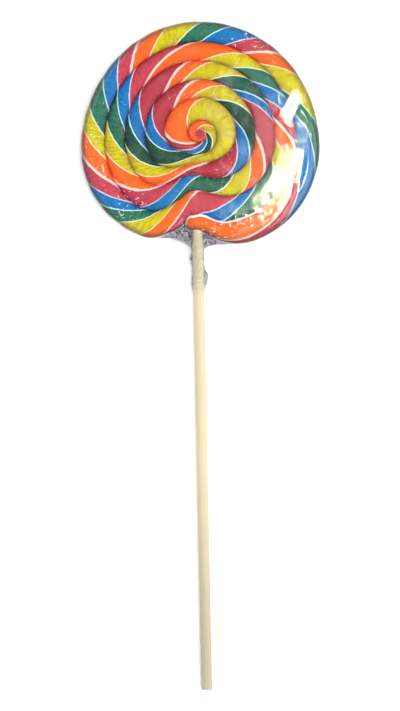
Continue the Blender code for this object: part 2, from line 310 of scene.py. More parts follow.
def rope_grid(strips, under):
    """Places on one side of the coil, by columns and strips, and what the material reads there."""
    angle = (NOSE_ANGLE + COIL_STEP * np.arange(COIL_COLUMNS + 1))[:, None]
    share = ((1 - np.cos(math.pi * np.arange(strips + 1) / strips)) / 2)[None, :]
    outer_edge = rope_edge(angle)
    inner_edge = rope_edge(angle + 360)
    width = outer_edge - inner_edge
    across = share * width
    length = rope_length(angle) + 0 * share
    source = untwisted(length, (-0.5 - share) if under else (share - 0.5))
    stripes = np.interp(source, *stripe_knots())
    part = stripes - np.floor(stripes)
    crown = 1 - (2 * part - 1) ** 2

    free = (angle < NOSE_ANGLE + 360) & (share < 0.5)
    radius = (1 - share) * outer_edge + share * inner_edge
    radius = radius + np.where(free, STRIPE_CROWN * (crown - RIM_CROWN_LEVEL) * (1 - 2 * share), 0)
    x, y = around(radius, angle)
    nose = rounding(angle)
    crest = (BELOW if under else ABOVE) * nose
    level = UNDER_GROOVE if under else TOP_GROOVE
    outer = crest * groove_level(angle, level)
    inner = crest * groove_level(angle + 360, level)
    height = section(share, outer, inner, crest, under)
    fade = np.sqrt(np.clip(1 - np.abs(2 * share - 1) ** BULGE_FADE_POWER, 0, 1))
    cover = np.where(free, fade, 1.0) * stick_cover(x, y) * nose
    height = (height ** BULGE_POWER + cover ** BULGE_POWER) ** (1 / BULGE_POWER)
    if under:
        z = MIDDLE_Z - np.minimum(BELOW, height)
    else:
        bow = np.sin(math.pi * share) ** 0.5
        z = MIDDLE_Z + height + STRIPE_CROWN * (crown - 1) * bow * nose

    shade, painted_dark = rope_shades(angle, across, width - across)
    along_slope = np.gradient(source, axis=0) / np.maximum(np.gradient(length, axis=0), SHORTEST_STEP)
    across_slope = np.gradient(source, axis=1) / np.maximum(np.gradient(across, axis=1), SHORTEST_STEP)
    spread = 1 / np.clip(np.hypot(along_slope, across_slope), *SLOPE_LIMITS)
    edging = 0 * across if under else white_edging(angle, length, width - across)
    marks = {"rope": (length, -across if under else across), "stripe": (stripes, shade),
             "spread": (spread, edging), "painted_dark": (painted_dark, 0 * painted_dark)}
    return np.stack([x, y, z], axis=-1), marks


def edge_vertices(places, vertices, rim):
    """Add the vertices along the coil's edge, which each turn shares with the next one in. The free
    rim, kept by column, is shared by top and underside."""
    edges = []
    for column in range(COIL_COLUMNS + PER_TURN + 1):
        if column <= PER_TURN and column % PER_TURN in rim:
            edges.append(rim[column % PER_TURN])
            continue
        place = places[column, 0] if column <= COIL_COLUMNS else places[column - PER_TURN, -1]
        if column <= PER_TURN:
            place = (place[0], place[1], MIDDLE_Z)
            rim[column % PER_TURN] = len(vertices)
        edges.append(len(vertices))
        vertices.append(tuple(place))
    return edges


def candy_mesh():
    """The coil as one closed mesh: its top and then its underside, each with a cap in the middle."""
    vertices, faces = [], []
    uv_sets = {"rope": [], "stripe": [], "spread": [], "painted_dark": []}
    rim = {}
    for strips, under in STRIPS:
        places, marks = rope_grid(strips, under)
        edges = edge_vertices(places, vertices, rim)
        ids = np.full((COIL_COLUMNS + 1, strips + 1), edges[0])
        for column in range(1, COIL_COLUMNS + 1):
            first = len(vertices)
            vertices += map(tuple, places[column, 1:-1])
            ids[column] = [edges[column], *range(first, first + strips - 1), edges[column + PER_TURN]]
        for column in range(COIL_COLUMNS):
            for strip in range(strips):
                after, inner = column + 1, strip + 1
                corners = [(column, strip), (after, strip), (after, inner), (column, inner)]
                if under:
                    corners.reverse()
                kept = []
                for corner in corners:
                    if all(ids[corner] != ids[other] for other in kept):
                        kept.append(corner)
                if len(kept) < 3:
                    continue
                faces.append([ids[corner] for corner in kept])
                for name, (first, second) in marks.items():
                    uv_sets[name] += [(first[corner], second[corner]) for corner in kept]

        loop = edges[COIL_COLUMNS:] + list(ids[-1, -2:0:-1])
        centre = len(vertices)
        vertices.append((0.0, 0.0, MIDDLE_Z - BELOW if under else MIDDLE_Z + ABOVE))
        last_stripe = math.floor(marks["stripe"][0][-1, strips // 2]) + 0.5
        core = {"rope": (marks["rope"][0][-1, 0], 1.0), "stripe": (last_stripe, CORE_SHADE),
                "spread": (1.0, 0.0), "painted_dark": (0.0, 0.0)}
        for index, vertex in enumerate(loop):
            face = [vertex, loop[(index + 1) % len(loop)], centre]
            faces.append(face[::-1] if under else face)
            for name, pair in core.items():
                uv_sets[name] += [pair] * 3
    return vertices, faces, uv_sets


def add_object(name, data):
    """A new object in the scene."""
    made = bpy.data.objects.new(name, data)
    bpy.context.scene.collection.objects.link(made)
    return made


def add_piece(name, vertices, faces, uv_sets, material, smooth_angle=None):
    """A mesh object in metres from places in millimetres, riding on the body."""
    mesh = bpy.data.meshes.new(name)
    places = [(x * MM, y * MM, z * MM) for x, y, z in vertices]
    mesh.from_pydata(places, [], [list(map(int, face)) for face in faces])
    for uv_name, values in uv_sets.items():
        layer = mesh.uv_layers.new(name=uv_name)
        layer.data.foreach_set("uv", np.array(values, np.float32).ravel())
    mesh.shade_smooth()
    if smooth_angle:
        mesh.set_sharp_from_angle(angle=math.radians(smooth_angle))
    mesh.materials.append(material)
    piece = add_object(name, mesh)
    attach(piece, "root")
    return piece


# ---- Materials ----
class Nodes:
    """A short way to write the node tree of a material or a world."""

    def __init__(self, owner, output="ShaderNodeOutputMaterial"):
        owner.use_nodes = True
        self.owner = owner
        self.tree = owner.node_tree
        self.tree.nodes.clear()
        self.output = self.tree.nodes.new(output)

    def add(self, kind, inputs=None, **settings):
        node = self.tree.nodes.new(kind)
        for key, value in settings.items():
            setattr(node, key, value)
        for key, value in (inputs or {}).items():
            self.put(node.inputs[key], value)
        return node

    def put(self, socket, value):
        if isinstance(value, bpy.types.NodeSocket):
            self.tree.links.new(value, socket)
        else:
            socket.default_value = (*value, 1.0) if socket.type == "RGBA" else value

    def finish(self, shader):
        """Link the last shader, and return the finished material or world."""
        self.put(self.output.inputs["Surface"], shader.outputs[0])
        return self.owner

    def math(self, operation, first, second=0.0, third=0.0):
        inputs = {0: first, 1: second, 2: third}
        return self.add("ShaderNodeMath", inputs, operation=operation).outputs[0]

    def plus(self, first, second):
        return self.math("ADD", first, second)

    def minus(self, first, second):
        return self.math("SUBTRACT", first, second)

    def times(self, first, second):
        return self.math("MULTIPLY", first, second)

    def away(self, value, middle):
        """How far a value is from a middle one."""
        return self.math("ABSOLUTE", self.minus(value, middle))

    def stripe_value(self, number, values):
        """The value of one stripe, from one for each. Its whole number is looked up mid-stop."""
        place = self.math("DIVIDE", self.plus(number, 0.5), float(STRIPES))
        node = self.add("ShaderNodeValToRGB", {"Fac": place})
        node.color_ramp.interpolation = "CONSTANT"
        elements = node.color_ramp.elements
        for index, value in enumerate(values):
            element = elements[index] if index < 2 else elements.new(index / STRIPES)
            element.position = index / STRIPES
            element.color = (*value, 1.0)
        return node.outputs["Color"]

    def range(self, value, low, high, to_low=0.0, to_high=1.0, kind="SMOOTHSTEP"):
        inputs = {"Value": value, "From Min": low, "From Max": high, "To Min": to_low, "To Max": to_high}
        return self.add("ShaderNodeMapRange", inputs, interpolation_type=kind).outputs["Result"]

    def mix(self, share, first, second):
        """A mix of two colours, which are this node's inputs 6 and 7 and its output 2."""
        return self.add("ShaderNodeMix", {0: share, 6: first, 7: second}, data_type="RGBA").outputs[2]

    def mix_shaders(self, share, first, second):
        inputs = {0: share, 1: first.outputs[0], 2: second.outputs[0]}
        return self.add("ShaderNodeMixShader", inputs)

    def noise(self, vector, scale, detail=2.0, roughness=0.5):
        inputs = {"Vector": vector, "Scale": scale, "Detail": detail, "Roughness": roughness}
        return self.add("ShaderNodeTexNoise", inputs, noise_dimensions="3D").outputs["Fac"]

    def bump(self, strength, distance, height):
        inputs = {"Strength": strength, "Distance": distance, "Height": height}
        return self.add("ShaderNodeBump", inputs).outputs[0]

    def uv(self, name):
        return self.split(self.add("ShaderNodeUVMap", uv_map=name).outputs[0])[:2]

    def split(self, vector):
        return self.add("ShaderNodeSeparateXYZ", {0: vector}).outputs[:]

    def scaled(self, parts, scales, z=0.0):
        """A vector from parts, each times its own scale."""
        x, y, *rest = [self.times(part, scale) for part, scale in zip(parts, scales)]
        return self.vector(x, y, *(rest or [z]))

    def vector(self, x, y, z=0.0):
        return self.add("ShaderNodeCombineXYZ", {0: x, 1: y, 2: z}).outputs[0]


def linear(red, green, blue):
    """An sRGB colour from 0 to 255 as linear values."""
    values = []
    for part in (red, green, blue):
        part /= 255
        values.append(part / 12.92 if part <= 0.04045 else ((part + 0.055) / 1.055) ** 2.4)
    return tuple(values)


def grey(value):
    return (value, value, value)


# Candy, one value for each stripe: red, blue, green, yellow, orange. First the colours on the crest, and
# the deep ones, which ribs, clouds and grain reach toward and which serve as painted shade down in a
# groove.
CREST_COLOURS = (linear(179, 61, 80), linear(0, 112, 173), linear(38, 110, 88), linear(192, 181, 6),
                 linear(210, 97, 22))
DEEP_COLOURS = (linear(138, 12, 34), linear(0, 60, 124), linear(4, 50, 38), linear(150, 122, 0),
                linear(202, 58, 4))
RIB_STRENGTH = (0.6, 0.8, 1.1, 1.8, 0.3)
# How much deeper each colour gets toward the middle of the coil, and over which stretch of the rope.
DEEPENING = (0.35, 0.15, 0.60, 0.10, 0.0)
DEEPENING_STRETCH = (620.0, 1150.0)
# The white lines take a little colour from the stripes beside them: the line before each stripe.
LINE_COLOURS = (linear(217, 190, 186), linear(190, 193, 209), linear(182, 213, 217), linear(196, 215, 194),
                linear(216, 200, 166))
EDGING_COLOUR = linear(208, 218, 222)
CLOUD_COLOUR = linear(235, 225, 215)
# Half widths of the white lines: most of them, and the one where orange meets red.
LINE_HALF_WIDTHS = (0.38, 0.88)
LINE_BLUR = 0.14
EDGE_WOBBLE = 0.020
# Scales of the candy's patterns along and across the rope, and how far its ribs lean.
WOBBLE_SCALE = (0.05, 0.12)
RIB_SCALE = (0.75, 0.10)
RIB_LEAN = 0.12
CLOUD_SCALE = (0.06, 0.10)
SWELL_SCALE = (0.04, 0.15)

# Stick: its colours, and the scales of its grain and bands (per metre), drawn out along Y.
WOOD_COLOURS = (linear(195, 183, 157), linear(187, 176, 143))
GRAIN_COLOUR = linear(170, 152, 116)
LOW_END_COLOUR = linear(152, 143, 122)
GRAIN_SCALE = (900.0, 14.0, 900.0)
BAND_SCALE = (160.0, 9.0, 160.0)

# Film: what it lets through on the disc, on the stick and in the webs, and the white of the painted
# highlights on its folds and specks.
CLEAR_TINT = (0.985, 0.988, 0.99)
SLEEVE_TINTS = ((0.93, 0.94, 0.92), (0.76, 0.78, 0.72))
WEB_TINTS = (linear(184, 179, 192), linear(208, 203, 214))
WEB_FOLD_TINT = linear(112, 106, 122)
FOLD_HIGHLIGHT_COLOUR = linear(232, 232, 238)
FILM_ROUGHNESS = (0.09, 0.18)


def principled(nodes, colour, roughness, normal=None, specular=0.5):
    inputs = {"Base Color": colour, "Roughness": roughness, "Specular IOR Level": specular}
    if normal:
        inputs["Normal"] = normal
    return nodes.add("ShaderNodeBsdfPrincipled", inputs)


def candy_material():
    """Striped boiled sugar. The UV map "rope" holds millimetres along and across the rope."""
    nodes = Nodes(bpy.data.materials.new("twisted_candy"))
    rope = nodes.uv("rope")
    along, across = rope
    count, shade = nodes.uv("stripe")
    spread, edging = nodes.uv("spread")
    wobble = nodes.minus(nodes.noise(nodes.scaled(rope, WOBBLE_SCALE), 3.0, 3.0), 0.5)
    waved = nodes.plus(count, nodes.times(wobble, EDGE_WOBBLE))
    stripe = nodes.math("FLOORED_MODULO", nodes.math("FLOOR", waved), float(STRIPES))
    crest = nodes.stripe_value(stripe, CREST_COLOURS)
    deep = nodes.stripe_value(stripe, DEEP_COLOURS)
    ribbed = nodes.stripe_value(stripe, map(grey, RIB_STRENGTH))
    deepened = nodes.stripe_value(stripe, map(grey, DEEPENING))

    # Fine ribs across the rope, leaning a little like its stripes, and softer clouds in the sugar.
    leaned = nodes.minus(along, nodes.times(across, RIB_LEAN))
    ribs = nodes.noise(nodes.scaled((leaned, across), RIB_SCALE), 1.0, 3.0, 0.6)
    ribs = nodes.range(ribs, 0.33, 0.67, kind="LINEAR")
    clouds = nodes.noise(nodes.scaled(rope, CLOUD_SCALE, 3.0), 1.0, 3.0, 0.55)

    depth = nodes.plus(nodes.times(nodes.minus(clouds, 0.5), 0.7), 0.22)
    rib_depth = nodes.times(nodes.minus(ribs, 0.5), ribbed)
    depth = nodes.plus(depth, nodes.times(rib_depth, 0.55))
    # Painted shade beside the grooves moves the colour toward the deep one.
    depth = nodes.plus(depth, shade)
    inward = nodes.range(along, *DEEPENING_STRETCH)
    depth = nodes.plus(depth, nodes.times(deepened, inward))
    grain = nodes.noise(nodes.vector(along, across, 2.0), 0.9, 3.0, 0.75)
    depth = nodes.plus(depth, nodes.range(grain, 0.3, 0.7, -0.36, 0.36, "LINEAR"))
    depth = nodes.range(depth, 0.0, 1.0, kind="LINEAR")
    sugar = nodes.mix(depth, crest, deep)
    pale = nodes.range(clouds, 0.52, 0.80, 0.0, 0.06)
    sugar = nodes.mix(pale, sugar, CLOUD_COLOUR)

    # White lines between the stripes, the widest where orange meets red.
    nearest = nodes.math("ROUND", waved)
    distance = nodes.times(nodes.times(nodes.away(waved, nearest), PER_STRIPE), spread)
    beside = nodes.math("FLOORED_MODULO", nearest, float(STRIPES))
    widest = nodes.math("COMPARE", beside, 0.0, 0.5)
    swell = nodes.noise(nodes.scaled(rope, SWELL_SCALE, 9.0), 2.0, 2.0)
    swell = nodes.range(swell, 0.3, 0.7, 0.7, 1.3, "LINEAR")
    half = nodes.range(widest, 0.0, 1.0, *LINE_HALF_WIDTHS, "LINEAR")
    half = nodes.times(half, swell)
    line = nodes.range(distance, nodes.minus(half, LINE_BLUR), nodes.plus(half, LINE_BLUR), 1.0, 0.0)
    line = nodes.math("MAXIMUM", line, nodes.range(edging, 0.35, 0.65))
    # Beside the grooves the white lines give way to the shaded sugar, as painted shade, but not in the
    # edging.
    line_shade = nodes.times(shade, nodes.range(edging, 0.3, 0.6, 0.5, 0.0))
    white = nodes.stripe_value(beside, LINE_COLOURS)
    white = nodes.mix(nodes.range(edging, 0.2, 0.4), white, EDGING_COLOUR)
    colour = nodes.mix(line, sugar, nodes.mix(line_shade, white, sugar))
    # Painted shade: darkened toward black deep in the grooves and along the free rim.
    colour = nodes.mix(nodes.uv("painted_dark")[0], colour, grey(0.0))

    ridges = nodes.times(ribs, nodes.times(ribbed, nodes.minus(1.0, line)))
    fine = nodes.noise(nodes.vector(along, across, 5.0), 0.6, 3.0, 0.6)
    bump = nodes.bump(0.45, 0.00022, nodes.plus(ridges, nodes.times(fine, 0.5)))
    roughness = nodes.range(clouds, 0.3, 0.7, 0.34, 0.46, "LINEAR")
    return nodes.finish(principled(nodes, colour, roughness, bump, 0.12))


def stick_material():
    """Pale wood, with grain and soft bands along the stick and a greyer low end."""
    nodes = Nodes(bpy.data.materials.new("pale_dowel"))
    place = nodes.split(nodes.add("ShaderNodeTexCoord").outputs["Object"])
    grain = nodes.noise(nodes.scaled(place, GRAIN_SCALE), 1.0, 4.0, 0.6)
    bands = nodes.noise(nodes.scaled(place, BAND_SCALE), 1.0, 2.0, 0.5)
    colour = nodes.mix(nodes.range(bands, 0.3, 0.7), *WOOD_COLOURS)
    colour = nodes.mix(nodes.range(grain, 0.45, 0.75, 0.0, 0.5), colour, GRAIN_COLOUR)
    # The stick is greyer and darker toward its low end.
    low_end = nodes.range(place[1], -0.38, -0.22, 0.8, 0.0)
    colour = nodes.mix(low_end, colour, LOW_END_COLOUR)
    return nodes.finish(principled(nodes, colour, 0.62, nodes.bump(0.35, 0.0002, grain)))


def film_material():
    """Clear film with a tint, a gloss that grows toward grazing views, and white painted highlights on
    folds, flecks and specks.
    """
    nodes = Nodes(bpy.data.materials.new("crinkled_film"))
    place = nodes.add("ShaderNodeTexCoord").outputs["Object"]
    # Off the candy the film is gathered: greyer and finely crinkled, but nearly clear along the stick.
    gathered, on_stick = nodes.uv("gather")
    crinkle = nodes.noise(place, 380.0, 3.0, 0.6)
    fine = nodes.noise(place, 760.0, 2.0, 0.6)
    soft = nodes.noise(place, 45.0, 2.0, 0.5)
    pale_fold = nodes.range(nodes.away(crinkle, 0.52), 0.01, 0.07, 1.0, 0.0)
    dark_fold = nodes.range(fine, 0.40, 0.56, 1.0, 0.0)
    web = nodes.mix(nodes.range(soft, 0.35, 0.65), *WEB_TINTS)
    web = nodes.mix(nodes.times(dark_fold, 0.65), web, WEB_FOLD_TINT)
    tint = nodes.mix(on_stick, web, nodes.mix(dark_fold, *SLEEVE_TINTS))
    through = nodes.mix(gathered, CLEAR_TINT, tint)
    strength = nodes.range(gathered, 0.0, 1.0, 0.10, 0.9, "LINEAR")
    folds = nodes.times(nodes.plus(crinkle, nodes.times(fine, 0.35)), gathered)
    bump = nodes.bump(strength, 0.0010, nodes.plus(folds, nodes.times(soft, 0.8)))
    # The sleeve clings ever closer to the stick until it can't be told from it.
    there = nodes.range(nodes.split(place)[1], SLEEVE_END_Y * MM, (SLEEVE_END_Y + SLEEVE_FADE) * MM)
    through = nodes.mix(there, grey(1.0), through)
    clear = nodes.add("ShaderNodeBsdfTransparent", {"Color": through})
    gloss, haze = [
        nodes.add("ShaderNodeBsdfGlossy", {"Color": grey(1.0), "Roughness": roughness, "Normal": bump})
        for roughness in FILM_ROUGHNESS
    ]
    facing = nodes.add("ShaderNodeLayerWeight", {"Blend": 0.5, "Normal": bump}).outputs["Facing"]
    share = nodes.math("MULTIPLY_ADD", nodes.math("POWER", facing, 5.0), 0.97, 0.03)
    mixed = nodes.mix_shaders(nodes.times(share, there), clear, nodes.mix_shaders(0.3, gloss, haze))
    # Painted highlights: sharp folds are drawn white, and so are specks, which lie in drifts.
    specks = nodes.range(nodes.noise(place, 1100.0, 1.0, 0.4), 0.74, 0.785)
    drifts = nodes.range(nodes.noise(place, 26.0, 2.0, 0.5), 0.46, 0.60, 0.25, 1.0)
    folded = nodes.times(pale_fold, nodes.times(gathered, 0.5))
    folded = nodes.times(folded, nodes.range(on_stick, 0.0, 1.0, 1.0, 0.35, "LINEAR"))
    # Painted highlights as short white flecks, where the film is finely creased.
    fleck = nodes.range(nodes.away(nodes.noise(place, 290.0, 1.0, 0.5), 0.5), 0.008, 0.020, 1.0, 0.0)
    broken = nodes.range(nodes.noise(place, 360.0, 1.0, 0.5), 0.53, 0.60)
    fleck = nodes.times(nodes.times(fleck, broken), nodes.range(nodes.uv("crease")[0], 0.15, 0.6))
    painted_highlights = nodes.math("MAXIMUM", folded, nodes.times(specks, drifts))
    painted_highlights = nodes.math("MAXIMUM", painted_highlights, fleck)
    painted_highlights = nodes.times(painted_highlights, nodes.times(there, 0.8))
    pale = nodes.add("ShaderNodeBsdfDiffuse", {"Color": FOLD_HIGHLIGHT_COLOUR})
    return nodes.finish(nodes.mix_shaders(painted_highlights, mixed, pale))


# ---- Stick ----
STICK_SIDES = 48
STICK_END_ROUND = 0.7
STICK_END_RINGS = 5
STICK_RINGS = 60
STICK_RINGS_INSET = 6
STICK_SHARP_ANGLE = 40
# Unevenness of the stick's radius, drawn anew every few rings.
STICK_WEAR = 0.03
STICK_WEAR_RINGS = 5
STICK_SEED = 4


def stick_mesh():
    """The dowel as turned rings along Y, with softly rounded ends."""
    top, end = STICK_TOP_Y, STICK_TOP_Y - STICK_LENGTH
    profile = []
    for part in np.linspace(0, 90, STICK_END_RINGS):
        turned = math.radians(part)
        inset = STICK_END_ROUND * (1 - math.sin(turned))
        profile.append((STICK_END_ROUND * (1 - math.cos(turned)), STICK_RADIUS - inset))
    stations = [(top - away, radius) for away, radius in profile]
    inner = np.linspace(top - STICK_RINGS_INSET, end + STICK_RINGS_INSET, STICK_RINGS)
    stations += [(y, STICK_RADIUS) for y in inner]
    stations += [(end + away, radius) for away, radius in profile[::-1]]
    worn = np.arange(0, len(stations), STICK_WEAR_RINGS)
    wear = np.random.default_rng(STICK_SEED).normal(0, STICK_WEAR, len(worn))
    drift = np.abs(np.interp(np.arange(len(stations)), worn, wear))
    vertices = []
    for (y, radius), off in zip(stations, drift):
        for side in range(STICK_SIDES):
            turned = 2 * math.pi * side / STICK_SIDES
            x = STICK_X + (radius - off) * math.cos(turned)
            vertices.append((x, y, MIDDLE_Z + (radius - off) * math.sin(turned)))
    faces = []
    for ring in range(len(stations) - 1):
        for side in range(STICK_SIDES):
            after = (side + 1) % STICK_SIDES
            here, below = ring * STICK_SIDES, (ring + 1) * STICK_SIDES
            faces.append([here + side, below + side, below + after, here + after])
    last = (len(stations) - 1) * STICK_SIDES
    faces += [range(STICK_SIDES), range(last, last + STICK_SIDES)[::-1]]
    return vertices, faces, {}


# ---- Wrapper ----
# The film is a drum skin over the disc: flat in the middle, then falling gently to its rounded rim.
RIM_GAP = 0.2
SIDE_GAP = 0.18
FILM_CREST = 6.35
FILM_LIMIT = 6.5
FILM_GAP = 0.12
FILM_BELOW = BELOW + 0.55
# How sharply the skin turns where it comes to lie on the candy.
COVER_POWER = 60
SKIN_SLOPE = 0.0507
SLOPE_RADIUS = 58.5
SLOPE_BLEND = 5.0
SLOPE_SHARPNESS = 3
RIM_ROUNDING = 9.0
RIM_POWER = 2.5
UNDER_RIM_POWER = 4.0
NOTCH_REACH = 2.2

# The film's two webs, beyond its sleeve on the stick: size, the y where it starts, the rise over which it
# grows to that size, and the power of its curve. Then low bulges below: size, y, and spread up and down.
LEFT_WEB = (22.6, -82.6, 10.4, 1.95)
RIGHT_WEB = (17.0, -83.2, 5.4, 2.3)
LEFT_BULGES = ((1.6, -89.0, 3.5, 3.5), (0.9, -108.0, 6.0, 6.0))
RIGHT_BULGES = ((2.6, -102.0, 4.0, 8.0),)
WEB_HALF_GAP = 0.35
WEB_WAVE = (0.25, 1.9)
TUBE_RADIUS = STICK_RADIUS + 0.55
SLEEVE_END_Y = -118.0
SLEEVE_FADE = 16.0
SLEEVE_CLING = 0.35
SLEEVE_CLING_LENGTH = 24.0
# Below this y the film's side follows the candy only where that reaches beyond these x.
LOBES_Y = -60.0
LOBES_APART = (-18.0, 14.0)
# How far off the candy the film is fully gathered, and how far beside the stick it is still clear.
GATHERED_WIDTH = 0.9
ON_STICK = (3.6, 0.8)

# A flat pull in the skin at the disc's right side: its middle, its long way, and its half length and half
# width, each with the length over which it blends in.
PULL_MIDDLE = (66.8, 20.1)
PULL_WAY = (-0.48, -0.877)
PULL_LENGTH = (11.5, 3.5)
PULL_WIDTH = (4.8, 3.0)
PULL_RAISED = 0.12
# Places where the film is finely creased: middle, and spread to the sides and up and down.
CREASED = ((18.0, -68.0, 22.0, 8.0), (50.0, -60.0, 12.0, 8.0), (-52.0, -50.0, 12.0, 15.0),
           (38.0, 66.0, 16.0, 7.0), (-77.0, -8.0, 5.0, 20.0), (72.0, -30.0, 6.0, 14.0))
# Creases in the skin, each a low ridge: start, end, height and spread.
CREASES = (((60.4, 8.6), (62.5, -9.3), 0.10, 0.7), ((52.5, 56.0), (66.8, 33.8), 0.12, 0.9),
           ((81.2, -25.2), (71.1, -48.1), 0.12, 0.6), ((-79.6, 9.0), (-79.3, -14.0), 0.07, 1.3),
           ((-72.6, 2.0), (-71.1, -16.0), 0.06, 1.4), ((-70.0, -20.0), (-66.0, -42.0), 0.06, 1.4),
           ((30.0, -66.0), (41.0, -63.0), 0.12, 0.5), ((28.0, -73.5), (38.0, -70.5), 0.12, 0.5),
           ((47.0, -62.0), (55.0, -55.0), 0.12, 0.5), ((20.0, -70.0), (26.0, -74.0), 0.10, 0.5))
CREASE_FADE = 2.0
CREASE_BEND = 0.9
CREASE_BEND_LENGTH = 4.0
CREASE_SEED = 8

# Relief of the skin: random hills, as rows of height, two widths and the seed. Slack lies everywhere.
HILL_GRID = 64
SLACK = ((0.08, 13.0, 13.0, 1), (0.02, 4.0, 4.0, 2))
# Streaks along the rim, where the skin falls. Distances round the disc are taken on an arc.
STREAKS = ((1.0, 2.4, 15.0, 3), (0.5, 1.3, 7.0, 4))
STREAK_HEIGHT = 0.035
STREAK_ARC = 70.0
STREAK_START = (56, 10)
# Pleats across the rim: how far in they lie, and their spread.
PLEATS = ((0.10, 3.4, 12.0, 5),)
PLEAT_ARC = 80.0
PLEAT_DEPTH = (4.0, 3.5)
# Sharp little folds over the rope's nose: their place round the disc (in radians) and out from its
# middle, each with its spread.
FOLDS = ((1.0, 5.5, 2.6, 6),)
FOLD_HEIGHT = 0.12
FOLD_TURN = (0.35, 0.40)
FOLD_RADIUS = (70.0, 8.0)
FOLD_SHARPNESS = 4
RELIEF_START = (0.5, 4.0)

# Mesh of the film: the columns of a row, and whether they are on its underside. They lie closer toward
# the sides, and the rows at the top and in the webs.
FILM_COLUMNS = ((250, False), (60, True))
TOP_ROWS = (0.1, 0.3, 0.6, 1.0, 1.5, 2.1, 2.8, 3.6, 4.4)
ROW_STEP = 0.8
WEB_ROW_STEP = 0.45
WEB_ROWS_START = 14
WEB_ROWS_END = -7
SLEEVE_ROWS = 36
CROWDING = 0.35
OUTLINE_STEP = 2.0
PROBES = (-95.0, 95.0, 0.25)
RAY_HEIGHT = 20


def candy_outline():
    """The candy's rim as seen from above, notched at the nose."""
    angle = NOSE_ANGLE + np.arange(0, 360, OUTLINE_STEP)
    return np.column_stack(around(rope_edge(angle), angle))


class Outline:
    """A closed outline grown by a gap."""

    def __init__(self, points, gap):
        self.points = points
        self.edges = np.roll(points, -1, axis=0) - points
        self.gap = gap

    def depth(self, x, y):
        """Distance inside the outline, negative outside it."""
        off_x = x[:, None] - self.points[:, 0]
        off_y = y[:, None] - self.points[:, 1]
        edge_x, edge_y = self.edges.T
        share = np.clip((off_x * edge_x + off_y * edge_y) / (edge_x ** 2 + edge_y ** 2), 0, 1)
        near = np.hypot(off_x - share * edge_x, off_y - share * edge_y).min(axis=1)
        after_y = np.roll(self.points[:, 1], -1)
        crosses = (off_y >= 0) != (y[:, None] >= after_y)
        with np.errstate(divide="ignore", invalid="ignore"):
            cut = off_x < edge_x * off_y / edge_y
        inside = (crosses & cut).sum(axis=1) % 2 == 1
        return np.where(inside, near, -near) + self.gap


def hills(x, y, seed):
    """Smooth random hills about one unit wide, from -1 to 1."""
    heights = np.random.default_rng(seed).uniform(-1, 1, (HILL_GRID, HILL_GRID))
    column, row = np.floor(x), np.floor(y)
    across, up = smooth(x - column), smooth(y - row)
    left, low = column.astype(int) % HILL_GRID, row.astype(int) % HILL_GRID
    right, high = (left + 1) % HILL_GRID, (low + 1) % HILL_GRID
    below = heights[low, left] * (1 - across) + heights[low, right] * across
    above = heights[high, left] * (1 - across) + heights[high, right] * across
    return below * (1 - up) + above * up


def hill_sum(rows, x, y):
    """Random hills of several sizes, added up."""
    return sum(height * hills(x / wide, y / long, seed) for height, wide, long, seed in rows)


def relief(x, y, depth):
    """Wrinkles and slack in the upper film."""
    turned = np.arctan2(x, -y)
    radius = np.hypot(x, y)
    streaks = STREAK_HEIGHT * hill_sum(STREAKS, radius, turned * STREAK_ARC)
    streaks = streaks * smooth(radius, *STREAK_START)
    pleats = hill_sum(PLEATS, turned * PLEAT_ARC, radius) * bell(depth, *PLEAT_DEPTH)
    near_nose = bell(turned, *FOLD_TURN) * bell(radius, *FOLD_RADIUS)
    folds = FOLD_HEIGHT * near_nose * (1 - np.abs(hill_sum(FOLDS, x, y))) ** FOLD_SHARPNESS
    return (hill_sum(SLACK, x, y) + streaks + pleats + folds) * smooth(depth, *RELIEF_START)


def pulled(x, y, height):
    """The skin's height with its flat pull."""
    off_x, off_y = x - PULL_MIDDLE[0], y - PULL_MIDDLE[1]
    along = off_x * PULL_WAY[0] + off_y * PULL_WAY[1]
    across = off_x * PULL_WAY[1] - off_y * PULL_WAY[0]
    inside = (1 - smooth(np.abs(across), *PULL_WIDTH)) * (1 - smooth(np.abs(along), *PULL_LENGTH))
    radius = math.hypot(*PULL_MIDDLE)
    outward = (off_x * PULL_MIDDLE[0] + off_y * PULL_MIDDLE[1]) / radius
    flat = FILM_CREST - SKIN_SLOPE * (radius - SLOPE_RADIUS) + PULL_RAISED - SKIN_SLOPE * outward
    return height + (flat - height) * inside


def creases(x, y):
    """Heights of the skin's creases, and how near they are, from 0 to 1."""
    total, nearness = 0 * x, 0 * x
    for (start_x, start_y), (end_x, end_y), height, spread in CREASES:
        way_x, way_y = end_x - start_x, end_y - start_y
        long = math.hypot(way_x, way_y)
        along = ((x - start_x) * way_x + (y - start_y) * way_y) / long
        across = ((x - start_x) * way_y - (y - start_y) * way_x) / long
        bend = hills(along / CREASE_BEND_LENGTH, 0 * x + 100 * height, CREASE_SEED)
        across = across + CREASE_BEND * spread * bend
        ends = smooth(along, -CREASE_FADE, 2 * CREASE_FADE)
        ends = ends * smooth(long + CREASE_FADE - along, 0, 2 * CREASE_FADE)
        total = total + height * ends * bell(across, 0, spread)
        nearness = np.maximum(nearness, ends * bell(across, 0, 2 * spread))
    return total, nearness


def finely_creased(x, y):
    """How finely creased the film is, from 0 to 1."""
    return np.max([bell(x, middle_x, spread_x) * bell(y, middle_y, spread_y)
                   for middle_x, middle_y, spread_x, spread_y in CREASED], axis=0)


def web_reach(web, y):
    """How far a web spreads beyond the stick's sleeve at a given y."""
    size, start, rise, power = web
    return size * (max(0.0, y - start) / rise) ** power


def bulge_reach(bulges, y):
    """How far one side's low bulges add to its web's reach."""
    return sum(size * bell(y, middle, up if y > middle else down) for size, middle, up, down in bulges)


def tube_radius(y):
    """Radius of the sleeve, which clings ever closer to the stick toward its end."""
    cling = smooth((SLEEVE_END_Y + SLEEVE_CLING_LENGTH - y) / SLEEVE_CLING_LENGTH)
    return TUBE_RADIUS - SLEEVE_CLING * cling


